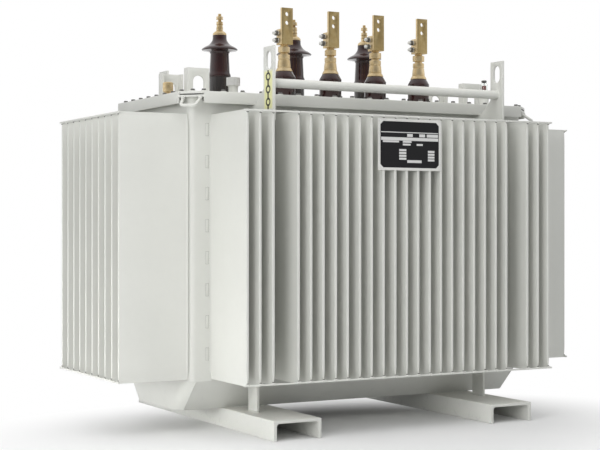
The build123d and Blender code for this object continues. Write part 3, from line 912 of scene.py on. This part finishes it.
class TRANSFORMER_OT_cover_parts(bpy.types.Operator):
    """Build the bolts of the cover, its lifting brackets and the tie-down bails."""
    bl_idname = "transformer.cover_parts"
    bl_label = "Cover bolts, brackets and bails"

    def execute(self, context):
        cover = sizes("cover")
        self.bolts(cover)
        for row, side_y in ROWS.items():
            for side, side_x in SIDES.items():
                self.bracket(f"bracket_{row}_{side}", side_y, cover)
                self.bail(f"bail_{row}_{side}", side_x, side_y)
        return {"FINISHED"}

    def bolt_places(self, cover):
        """Places of the bolts on the cover, and whether a nut fits below."""
        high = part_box("cover_plate")[1]
        x, y = high.x - cover.bolt_inset, high.y - cover.bolt_inset
        for side in (-1, 1):
            for step in spaced(cover.bolts_along, cover.bolt_pitch):
                yield step, side * y, True
            for step in spaced(cover.bolts_across, cover.bolt_pitch):
                yield side * x, step, True
            for other in (-1, 1):
                yield side * CORNER_BOLT[0], other * CORNER_BOLT[1], False

    def bolts(self, cover):
        """Hexagon heads on washers, and the nuts below the flange."""
        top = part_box("cover_plate")[1].z
        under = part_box("tank_shell")[1].z
        seat = cover.washer_thickness
        nut_height = cover.bolt_height * 1.1
        washer = disc(cover.washer / 2, seat, 20, 0.0006, 1, 1)
        head = hexagon(cover.bolt_across, cover.bolt_height)
        nut = hexagon(cover.bolt_across, nut_height)
        tail = turned([(0, -0.013), (0.0032, -0.013), (0.004, -0.0115), (0.004, 0), (0, 0)], 12)
        bm = bmesh.new()
        for count, (x, y, nut_below) in enumerate(self.bolt_places(cover)):
            turn = rotation(uneven(count, 40.0))
            stamp(bm, washer, (x, y, top))
            stamp(bm, head, move((x, y, top + seat)) @ turn)
            if nut_below:
                stamp(bm, nut, move((x, y, under - nut_height)) @ turn)
                stamp(bm, tail, (x, y, under))
        make_piece("cover_bolts", bm, ["bolt_steel", "paint"], "zinc", angle=25.0)

    def bracket(self, node, side_y, cover):
        """Lifting bracket with the welds at its foot."""
        low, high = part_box(node)
        bm = gathered(of_cad(node, 0.0012))
        face = low.y if side_y < 0 else high.y
        weld(bm, (low.x + 0.004, face, low.z), (high.x - 0.004, face, low.z), cover.bead)
        for x in (low.x, high.x):
            weld(bm, (x, low.y + 0.002, low.z), (x, high.y - 0.002, low.z), cover.bead)
        make_piece(f"cover_{node}", bm, PAINTED, "tank_paint", node)

    def bail(self, node, side_x, side_y):
        """Bent rod of a corner with the welds at its two roots."""
        outward = Vector((side_x, side_y, 0)).normalized()
        across = Vector((-outward.y, outward.x, 0))
        x, y = BAIL_CORNER
        corner = Vector((side_x * x, side_y * y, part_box("top_frame")[0].z + 0.017))
        bm = gathered(of_cad(node))
        blob = drop(BAIL_ROOT, 12, 1)
        for share in (-1, 1):
            stamp(bm, blob, corner + across * 0.0295 * share - outward * 0.003)
        make_piece(f"tie_down_{node}", bm, PAINTED, "tank_paint", node, angle=50.0)


class TRANSFORMER_OT_high_voltage(bpy.types.Operator):
    """Build the three high-voltage bushings with their clamps and terminals."""
    bl_idname = "transformer.high_voltage"
    bl_label = "High-voltage bushings"

    def execute(self, context):
        bushing = sizes("bushings")
        body = turned(scaled(HV_BODY), bushing.steps, 0.0008, 2, 0, 38.0)
        foot = disc(0.0378, 0.0974, bushing.steps, 0.001, 2, 1)
        low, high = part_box("hv_clamps")
        height = high.z - low.z
        ring = turned([(0, 0), (0.0515, 0), (0.0515, 0.006), (0.047, height), (0, height)], 48, 0.001)
        clamps = bmesh.new()
        for count in (1, 2, 3):
            node = f"hv_insulator_{count}"
            place = foot_of(node)
            make_piece(f"hv_porcelain_{count}", gathered(body, foot, place=place), ["porcelain", "foot"],
                       "porcelain", node)
            self.terminal(f"hv_terminal_{count}", count)
            stamp(clamps, ring, place)
            jaws(clamps, place + UP * height, 45, 0.0345, 0.0535, bushing)
        make_piece("hv_clamp_rings", clamps, ["zinc", "dark_steel"], "zinc", "hv_clamps")
        return {"FINISHED"}

    def terminal(self, node, count):
        """Domed cap, stacked nuts and threaded stud."""
        place = foot_of(node)
        cap = turned(scaled(HV_CAP), 48, 0.0005, 2, 0, 40.0)
        bm = gathered(cap, place=place)
        washer = disc(0.0126, 0.0024, 32, 0.0006)
        nut = hexagon(0.021, 0.0090, 0.0009)
        for level, turn in ((16.6, 8), (28.2, 35), (39.8, 21), (58.4, 12)):
            stamp(bm, washer, place + UP * (level - 2.2) * MM)
            stamp(bm, nut, move(place + UP * level * MM) @ rotation(turn))
        stamp(bm, threaded(0.006, 0.046, 0.077, 0.00175), place)
        make_piece(f"hv_cap_{count}", bm, ["brass"], "brass", node)


def jaws(bm, place, first_turn, inner, outer, bushing):
    """Four clamping jaws round a bushing's foot, each with its stud and nut."""
    half = bushing.jaw_width / 2
    jaw = block((inner, -half, 0), (outer, half, bushing.jaw_height), 0.0014)
    nut = hexagon(0.013, 0.0065, 0.0006, 1)
    stud = threaded(bushing.stud / 2, 0, 0.014, 0.00125, 12, 1)
    for side in range(4):
        seat = move(place) @ rotation(first_turn + 90 * side)
        top = seat @ move(((inner + outer) / 2 + 0.003, 0, bushing.jaw_height))
        stamp(bm, jaw, seat)
        stamp(bm, nut, top)
        stamp(bm, stud, top)


class TRANSFORMER_OT_low_voltage(bpy.types.Operator):
    """Build the four low-voltage bushings with their clamps and flag terminals."""
    bl_idname = "transformer.low_voltage"
    bl_label = "Low-voltage bushings"

    def execute(self, context):
        bushing = sizes("bushings")
        cone = turned(scaled(LV_CONE), bushing.steps, 0.0010, 2, 0, 20.0)
        seat = disc(0.0435, 0.0032, bushing.steps, 0.001, 2)
        clamps = bmesh.new()
        for count in (1, 2, 3, 4):
            node = f"lv_insulator_{count}"
            place = foot_of(node)
            make_piece(f"lv_porcelain_{count}", gathered(cone, place=place), ["porcelain"], "porcelain", node)
            make_piece(f"lv_seat_{count}", gathered(seat, place=place), ["rubber"], "gasket_rubber")
            jaws(clamps, place + UP * 0.003, 10, 0.038, 0.057, bushing)
            self.terminal(f"lv_terminal_{count}", count, bushing)
        make_piece("lv_clamps", clamps, ["zinc", "dark_steel"], "zinc")
        return {"FINISHED"}

    def terminal(self, node, count, bushing):
        """Turned column, nut, clamp block with its bolts, and the flag with two holes."""
        place = foot_of(node)
        bm = gathered(of_cad(node, bushing.brass_edge, 35.0, place.z + 0.0915))
        # faces in front of the column, the flag, take the darker brass of painted shade
        for face in bm.faces:
            if face.calc_center_median().y < place.y - 0.0148:
                face.material_index = 1
        column = turned(scaled(LV_COLUMN), 56, 0.0005, 2, 0, 28.0)
        stamp(bm, column, place)
        nut = hexagon(0.038, 0.021, 0.0016)
        stamp(bm, nut, move(place + UP * 0.0645) @ rotation(9 + 14 * count))
        self.side_bolts(bm, place, bushing)
        make_piece(f"lv_head_{count}", bm, ["brass", "flag_brass", "zinc", "bolt_steel"], "brass", node)

    def side_bolts(self, bm, place, bushing):
        """Two clamping bolts out of the block's left side, their heads at its right side."""
        radius = bushing.side_bolt / 2
        reach = bushing.side_bolt_length
        washer = disc(radius + 0.001, 0.002, 24, 0.0004, 1, 2)
        nut = hexagon(0.0165, 0.009, 0.0008, 3)
        tip = turned([(0, 0), (radius * 0.72, 0), (radius * 0.72, reach - 0.012),
                      (radius * 0.5, reach - 0.010), (0, reach - 0.010)], 24, 0.0004, 1, 2)
        head = turned([(0, 0), (radius * 0.9, 0), (radius * 0.9, 0.005), (radius * 0.6, 0.0068), (0, 0.0068)],
                      24, 0.0006, 2, 2)
        for level in (0.107, 0.132):
            left = move(place + Vector((-0.0215, 0.005, level))) @ rotation(-90, "Y")
            stamp(bm, washer, left)
            stamp(bm, nut, left @ move((0, 0, 0.002)))
            stamp(bm, tip, left @ move((0, 0, 0.011)))
            stamp(bm, head, move(place + Vector((0.0215, 0.005, level))) @ rotation(90, "Y"))


class TRANSFORMER_OT_fittings(bpy.types.Operator):
    """Build the thermometer pocket, the filler and the level gauge."""
    bl_idname = "transformer.fittings"
    bl_label = "Cover fittings"

    def execute(self, context):
        self.pocket()
        self.filler()
        self.gauge()
        return {"FINISHED"}

    def pocket(self):
        """Brass knob on a hexagon and a neck."""
        node = "thermometer_pocket"
        knob = turned(scaled(POCKET_KNOB), 48, 0.0004, 1, 0, 50.0)
        bm = gathered(hexagon(0.027, 0.009, 0.0009), knob, place=foot_of(node))
        make_piece("pocket_knob", bm, ["brass"], "brass", node)

    def filler(self):
        """Neck with a welded foot, and a cap with a gripping edge."""
        place = foot_of("filler_neck")
        neck = turned(scaled(FILLER_NECK), 40, 0.0004, 1)
        make_piece("filler_pipe", gathered(neck, place=place), ["paint"], "tank_paint", "filler_neck")
        low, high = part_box("filler_cap")
        sides = 72
        cap = closed(prism(sides, (high.x - low.x) / 2, high.z - low.z))
        lids = [face for face in cap.faces if len(face.verts) > 4]
        bmesh.ops.inset_region(cap, faces=lids, thickness=0.0035, depth=0.0)
        walls = [face for face in cap.faces if abs(face.normal.z) < 0.1]
        grooves = [face for face in walls
                   if round(math.atan2(face.normal.y, face.normal.x) / math.tau * sides + 0.5) % 3]
        bmesh.ops.inset_region(cap, faces=grooves, thickness=0.0003, depth=-0.0012, use_boundary=True)
        soften(cap, 0.0006, 1, 60.0)
        bm = gathered(as_shape(cap), place=foot_of("filler_cap"))
        crown = turned(scaled(FILLER_CROWN), 40, 0.0004, 1)
        stamp(bm, crown, (place.x, place.y, high.z - 0.0008))
        make_piece("filler_lid", bm, ["zinc"], "zinc", "filler_cap")

    def gauge(self):
        """White base, clear dome with a red float on its stem, and a small dark cap."""
        base = turned(scaled(GAUGE_BASE), 48, 0.0006)
        make_piece("gauge_socket", gathered(base, place=foot_of("gauge_base")), ["paint"], "tank_paint",
                   "gauge_base")
        place = foot_of("gauge_glass")
        dome = turned(scaled(GAUGE_DOME), 48)
        make_piece("gauge_dome", gathered(dome, place=place), ["glass"], "gauge_glass", "gauge_glass",
                   angle=60.0)
        body = turned(scaled(GAUGE_FLOAT), 32, 0.0005)
        stem = turned(scaled(GAUGE_STEM), 16, material=1)
        make_piece("gauge_float", gathered(body, stem, place=place), ["float", "dark_steel"], "gauge_glass",
                   angle=40.0)
        lid = turned(scaled(GAUGE_LID), 32, 0.0006)
        make_piece("gauge_lid", gathered(lid, place=foot_of("gauge_cap")), ["bolt_steel"], "zinc",
                   "gauge_cap")


class TRANSFORMER_OT_plates(bpy.types.Operator):
    """Build the blank rating plate and the sling sign of the left front eye."""
    bl_idname = "transformer.plates"
    bl_label = "Rating plate and sling sign"

    def execute(self, context):
        plate = sizes("plates")
        self.rating_plate(plate)
        self.sling_sign(plate)
        return {"FINISHED"}

    def layer(self, bm, low, high, material, cut=0.0):
        """Thin printed layer between two corners; its own corners may be cut."""
        part = bar(low, high)
        if cut:
            corners = [edge for edge in part.edges if edge.verts[0].co.y != edge.verts[1].co.y]
            bmesh.ops.bevel(part, geom=corners, offset=cut, offset_type="OFFSET", affect="EDGES", segments=1,
                            profile=0.5, material=-1)
        stamp(bm, as_shape(part, material))

    def rating_plate(self, plate):
        """Pale plate with a dark field, white lines and blank boxes, and a rivet at each corner."""
        low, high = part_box("plate_carrier")
        front = low.y
        bm = gathered(block(low, high, 0.0008))
        left, foot = low.x + plate.margin, low.z + plate.margin
        width, height = high.x - low.x - 2 * plate.margin, high.z - low.z - 2 * plate.margin
        level = front + SUNK - plate.layer
        self.layer(bm, (left, level, foot), (left + width, front + SUNK, foot + height), 1, plate.corner)
        boxes = [(0.01, 0.757, 0.99, 0.775), (0.453, 0.673, 0.547, 0.738), (0.66, 0.673, 0.76, 0.738),
                 (0.79, 0.673, 0.985, 0.738), (0.01, 0.589, 0.99, 0.658), (0.04, 0.545, 0.312, 0.584),
                 (0.377, 0.545, 0.526, 0.584), (0.377, 0.485, 0.51, 0.525), (0.615, 0.485, 0.72, 0.525),
                 (0.453, 0.109, 0.70, 0.168)]
        for row in range(4):
            step = 0.173 + row * 0.062
            boxes.append((0.316, step, 0.437, step + 0.046))
            boxes.append((0.81, step - 0.022, 0.923, step + 0.024))
        for x0, z0, x1, z1 in boxes:
            self.layer(bm, (left + x0 * width, level + SUNK - plate.layer, foot + z0 * height),
                       (left + x1 * width, level + SUNK, foot + z1 * height), 2)
        rivet = turned(scaled(RIVET), 16)
        for x in (low.x + 0.0065, high.x - 0.0065):
            for z in (low.z + 0.0065, high.z - 0.0065):
                stamp(bm, rivet, move((x, front, z)) @ rotation(90, "X"))
        make_piece("rating_plate", bm, ["plate", "field", "white"], "zinc", "plate_carrier")

    def sling_sign(self, plate):
        """Plain sign with a drawn chain on the left face of the left front eye."""
        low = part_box("strap_front_left")[0]
        face = low.x
        middle = low.y + 0.035
        half = plate.sign_width / 2
        inner = half - 0.0055
        foot = plate.sign_foot
        top = plate.sign_top
        board = block((face - 0.0006, middle - half, foot), (face + 0.0002, middle + half, top), 0.0002, 1)
        field = block((face - 0.0008, middle - inner, foot + 0.004), (face, middle + inner, top - 0.005),
                      0.0001, 1, 2)
        bm = gathered(board, field)
        side = move((face - 0.0008, middle, 0)) @ rotation(-90, "Y")
        link = self.link(plate.link_width, plate.link_height, 0.0060)
        for count in range(3):
            stamp(bm, link, side @ move((plate.link_top - plate.link_pitch * count, 0, 0)))
        for count in range(4):
            level = plate.link_top - plate.link_pitch * (count - 0.5)
            start = max(foot + 0.001, level - 0.013)
            end = min(top - 0.001, level + 0.013)
            seen_on_edge = block((start, -0.004, -0.0001), (end, 0.004, 0.0005), 0.0002, 1, 1)
            stamp(bm, seen_on_edge, side @ move((0, 0, 0.0003)))
        make_piece("sling_sign", bm, ["sign_edge", "ink", "sign"], "tank_paint")

    def link(self, across, tall, thick):
        """Flat drawn oval ring, its long way across."""
        bm = bmesh.new()
        ring = bmesh.ops.create_circle(bm, cap_ends=True, segments=28, radius=0.5)["verts"]
        bmesh.ops.scale(bm, vec=(tall, across, 1.0), verts=ring)
        bm.normal_update()
        bmesh.ops.inset_region(bm, faces=bm.faces[:], thickness=thick, use_boundary=True)
        hole = [face for face in bm.faces if len(face.verts) > 4]
        bmesh.ops.delete(bm, geom=hole, context="FACES")
        made = bmesh.ops.extrude_face_region(bm, geom=bm.faces[:])["geom"]
        raised = [item for item in made if isinstance(item, bmesh.types.BMVert)]
        bmesh.ops.translate(bm, vec=(0, 0, 0.0005), verts=raised)
        return as_shape(closed(bm), 1)


class TRANSFORMER_OT_stage(bpy.types.Operator):
    """Build the floor, the lamps, the room light and the camera."""
    bl_idname = "transformer.stage"
    bl_label = "Stage"

    def execute(self, context):
        stage = sizes("stage")
        scene = context.scene
        scene.view_settings.view_transform = "Standard"
        self.floor(stage)
        self.room(scene, stage)
        self.lamp("key lamp", (-3.75, -2.95, 1.55), (-0.1, -0.1, 0.6), stage.key_power, stage.key_size,
                  stage.key_size, 180.0)
        self.lamp("top lamp", (-0.6, -1.2, 4.0), (-0.1, -0.1, 0.0), stage.top_power, stage.top_size,
                  stage.top_size, 180.0)
        self.lamp("low lamp", (-3.0, 0.1, 0.42), (-0.66, 0.0, 0.06), stage.low_power, stage.low_size,
                  stage.low_height, 52.0)
        self.camera(scene, stage)
        return {"FINISHED"}

    def floor(self, stage):
        """Pale round floor that keeps the shadow and turns white away from the transformer."""
        bm = bmesh.new()
        bmesh.ops.create_circle(bm, cap_ends=True, segments=96, radius=stage.floor_radius,
                                matrix=move((0, 0, -0.0005)))
        mesh = as_shape(bm)
        finish = Finish("studio floor")
        flat = finish.add("ShaderNodeVectorMath",
                          {0: finish.place, 1: (0.72, 1.0, 0.0), 2: (0.16, 0.50, 0.0)},
                          operation="MULTIPLY_ADD").outputs["Vector"]
        distance = finish.add("ShaderNodeVectorMath", {0: flat}, operation="LENGTH").outputs["Value"]
        share = finish.spread(distance, 0.0, 1.0, stage.fade_start, stage.fade_end,
                              interpolation_type="SMOOTHSTEP")
        rays = finish.add("ShaderNodeLightPath").outputs
        seen = finish.reckon("MAXIMUM", rays["Is Camera Ray"], rays["Is Glossy Ray"])
        seen = finish.reckon("MAXIMUM", seen, rays["Is Transmission Ray"])
        tone = finish.blend(finish.patches(3.0, 4.0, 0.6), (0.86, 0.86, 0.86), (0.88, 0.88, 0.878))
        finish.set(Base_Color=tone, Roughness=0.75, Specular_IOR_Level=0.2)
        glow = finish.add("ShaderNodeEmission", {"Color": (1, 1, 1), "Strength": 1.0}).outputs["Emission"]
        mix = finish.mix(finish.times(share, seen), finish.shader.outputs["BSDF"], glow)
        finish.feed(finish.tree.nodes["Material Output"].inputs["Surface"], mix)
        mesh.materials.append(finish.material)
        floor = bpy.data.objects.new("floor", mesh)
        bpy.context.scene.collection.objects.link(floor)

    def room(self, scene, stage):
        """White background for what is seen, and a weaker even light for the object."""
        scene.world = bpy.data.worlds.new("studio room")
        room = Nodes(scene.world)
        room.tree.nodes.clear()

        def light(colour, strength):
            inputs = {"Color": colour, "Strength": strength}
            return room.add("ShaderNodeBackground", inputs).outputs["Background"]

        rays = room.add("ShaderNodeLightPath").outputs
        seen = room.reckon("MAXIMUM", rays["Is Camera Ray"], rays["Is Transmission Ray"])
        direction = room.add("ShaderNodeTexCoord").outputs["Generated"]
        ahead = room.add("ShaderNodeVectorMath", {0: direction, 1: (-0.36, -0.93, 0.0)},
                         operation="DOT_PRODUCT").outputs["Value"]
        mirrored_light = light((1, 1, 1), room.spread(ahead, 1.0, 0.24, 0.15, 0.95))
        fill = room.mix(rays["Is Glossy Ray"], light((0.985, 0.993, 1.0), stage.fill), mirrored_light)
        mix = room.mix(seen, fill, light((1, 1, 1), 1.0))
        room.add("ShaderNodeOutputWorld", {"Surface": mix})

    def lamp(self, name, place, aim, power, width, height, spread):
        """Flat lamp aimed at a point, its light spread over an angle in degrees."""
        light = bpy.data.lights.new(name, "AREA")
        light.shape = "RECTANGLE"
        light.size = width
        light.size_y = height
        light.spread = math.radians(spread)
        light.energy = power
        lamp = bpy.data.objects.new(name, light)
        lamp.location = place
        lamp.rotation_euler = (Vector(aim) - Vector(place)).to_track_quat("-Z", "Y").to_euler()
        lamp.visible_glossy = False
        bpy.context.scene.collection.objects.link(lamp)

    def camera(self, scene, stage):
        """Camera at the photograph's place and angle."""
        lens = bpy.data.cameras.new("camera")
        lens.lens = stage.lens
        lens.sensor_width = 36.0
        lens.shift_y = CAMERA_SHIFT
        lens.clip_end = 100.0
        camera = bpy.data.objects.new("camera", lens)
        camera.location = CAMERA_PLACE
        camera.rotation_euler = (math.radians(90.0), 0.0, math.radians(CAMERA_TURN))
        scene.collection.objects.link(camera)
        scene.camera = camera


class TRANSFORMER_PT_panel(bpy.types.Panel):
    """Buttons and settings of the transformer."""
    bl_idname = "TRANSFORMER_PT_panel"
    bl_label = "Power transformer"
    bl_space_type = "VIEW_3D"
    bl_region_type = "UI"
    bl_category = "Transformer"

    def draw(self, context):
        for operator in operators:
            self.layout.operator(operator.bl_idname)
        for name, group in groups.items():
            box = self.layout.box()
            box.label(text=group.__doc__)
            settings = getattr(context.scene, f"transformer_{name}")
            for key in group.__annotations__:
                box.prop(settings, key)


groups = {"fins": FinSizes, "cover": CoverSizes, "bushings": BushingSizes, "plates": PlateSizes,
          "colours": FinishColours, "stage": StageSettings}
operators = (TRANSFORMER_OT_tank, TRANSFORMER_OT_fins, TRANSFORMER_OT_straps, TRANSFORMER_OT_cover_parts,
             TRANSFORMER_OT_high_voltage, TRANSFORMER_OT_low_voltage, TRANSFORMER_OT_fittings,
             TRANSFORMER_OT_plates, TRANSFORMER_OT_stage)


def register():
    """Register the settings, the operators and the panel."""
    for name, group in groups.items():
        bpy.utils.register_class(group)
        setattr(bpy.types.Scene, f"transformer_{name}", bpy.props.PointerProperty(type=group))
    for operator in operators:
        bpy.utils.register_class(operator)
    bpy.utils.register_class(TRANSFORMER_PT_panel)


def unregister():
    """Take the panel, the operators and the settings away again."""
    bpy.utils.unregister_class(TRANSFORMER_PT_panel)
    for operator in reversed(operators):
        bpy.utils.unregister_class(operator)
    for name, group in reversed(groups.items()):
        delattr(bpy.types.Scene, f"transformer_{name}")
        bpy.utils.unregister_class(group)


def main():
    """Build everything in order."""
    register()
    make_finishes()
    bpy.ops.transformer.tank()
    bpy.ops.transformer.fins()
    bpy.ops.transformer.straps()
    bpy.ops.transformer.cover_parts()
    bpy.ops.transformer.high_voltage()
    bpy.ops.transformer.low_voltage()
    bpy.ops.transformer.fittings()
    bpy.ops.transformer.plates()
    bpy.ops.transformer.stage()


if __name__ == "__main__":
    main()
